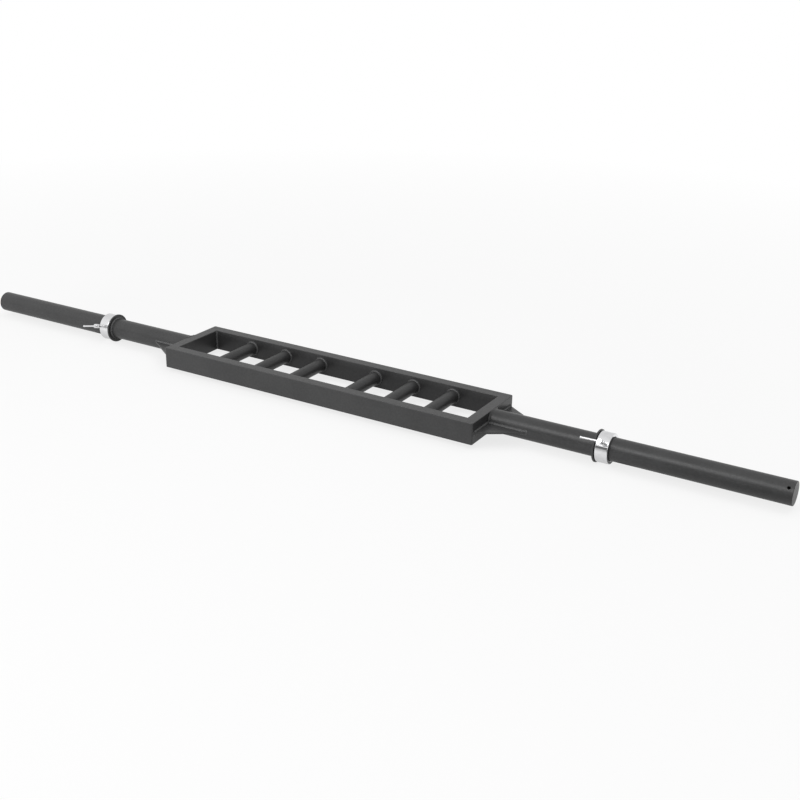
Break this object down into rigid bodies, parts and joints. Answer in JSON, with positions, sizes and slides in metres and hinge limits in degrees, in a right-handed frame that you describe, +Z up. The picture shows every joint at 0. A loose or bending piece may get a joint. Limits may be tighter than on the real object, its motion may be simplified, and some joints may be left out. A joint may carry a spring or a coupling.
{
  "type": "multi-grip barbell",
  "caption": "Barbell with a welded rectangular frame, cross handles between its rails, loading sleeves at both ends and sliding clamp collars.",
  "frame": {"origin": "on the ground below the middle of the barbell, where its two stops lie on the ground", "axes": "+X along the barbell to the right end, +Z up, front rail at -Y"},
  "size_m": [2.134, 0.191, 0.0785],
  "materials": {
    "powder_coat": "fine-textured satin black powder coat over steel",
    "end_plug": "satin black coat on a flat end disc",
    "chrome": "polished chrome plate",
    "brass": "plain turned brass"
  },
  "bodies": {
    "frame": {"front_rail": "powder_coat", "back_rail": "powder_coat", "left_end_member": "powder_coat", "right_end_member": "powder_coat", "front_left_corner_weld": "powder_coat", "front_right_corner_weld": "powder_coat", "back_right_corner_weld": "powder_coat", "back_left_corner_weld": "powder_coat", "handle_1": "powder_coat", "handle_1_front_weld": "powder_coat", "handle_1_back_weld": "powder_coat", "handle_2": "powder_coat", "handle_2_front_weld": "powder_coat", "handle_2_back_weld": "powder_coat", "handle_3": "powder_coat", "handle_3_front_weld": "powder_coat", "handle_3_back_weld": "powder_coat", "handle_4": "powder_coat", "handle_4_front_weld": "powder_coat", "handle_4_back_weld": "powder_coat", "handle_5": "powder_coat", "handle_5_front_weld": "powder_coat", "handle_5_back_weld": "powder_coat", "handle_6": "powder_coat", "handle_6_front_weld": "powder_coat", "handle_6_back_weld": "powder_coat", "left_sleeve": "powder_coat", "right_sleeve": "powder_coat", "left_sleeve_weld": "powder_coat", "right_sleeve_weld": "powder_coat", "left_end_plug": "end_plug", "right_end_plug": "end_plug", "left_stop": "powder_coat", "right_stop": "powder_coat", "left_front_gusset": "powder_coat", "left_back_gusset": "powder_coat", "right_front_gusset": "powder_coat", "right_back_gusset": "powder_coat"},
    "left_collar_body": {"left_collar": "chrome"},
    "left_pad_body": {"left_clamp_pad": "brass"},
    "left_screw_body": {"left_clamp_screw": "chrome"},
    "left_turn_bar_body": {"left_turn_bar": "chrome"},
    "right_collar_body": {"right_collar": "chrome"},
    "right_pad_body": {"right_clamp_pad": "brass"},
    "right_screw_body": {"right_clamp_screw": "chrome"},
    "right_turn_bar_body": {"right_turn_bar": "chrome"}
  },
  "joints": [
    {"name": "left_collar_slide", "type": "slide", "parent": "frame", "child": "left_collar_body", "axis": [-1, 0, 0], "range_m": [0, 0.37]},
    {"name": "left_pad_slide", "type": "slide", "parent": "left_collar_body", "child": "left_pad_body", "axis": [0, -0.9478, 0.319], "range_m": [0, 0.0025]},
    {"name": "left_screw_turn", "type": "hinge", "parent": "left_pad_body", "child": "left_screw_body", "pos_m": [-0.6751, 0, 0.03522], "axis": [0, -0.9478, 0.319], "range_deg": [0, 720]},
    {"name": "left_turn_bar_slide", "type": "slide", "parent": "left_screw_body", "child": "left_turn_bar_body", "axis": [0.9829, 0.0587, 0.1743], "range_m": [0, 0.0358]},
    {"name": "right_collar_slide", "type": "slide", "parent": "frame", "child": "right_collar_body", "axis": [1, 0, 0], "range_m": [0, 0.37]},
    {"name": "right_pad_slide", "type": "slide", "parent": "right_collar_body", "child": "right_pad_body", "axis": [0, -0.8358, 0.549], "range_m": [0, 0.0025]},
    {"name": "right_screw_turn", "type": "hinge", "parent": "right_pad_body", "child": "right_screw_body", "pos_m": [0.6875, 0, 0.03522], "axis": [0, -0.8358, 0.549], "range_deg": [0, 720]},
    {"name": "right_turn_bar_slide", "type": "slide", "parent": "right_screw_body", "child": "right_turn_bar_body", "axis": [0.9998, 0.0096, 0.0146], "range_m": [0, 0.0358]}
  ],
  "couplings": [
    {"joint": "left_pad_slide", "follows": "left_screw_turn", "m_per_rad": 0.00019894},
    {"joint": "right_pad_slide", "follows": "right_screw_turn", "m_per_rad": 0.00019894}
  ]
}
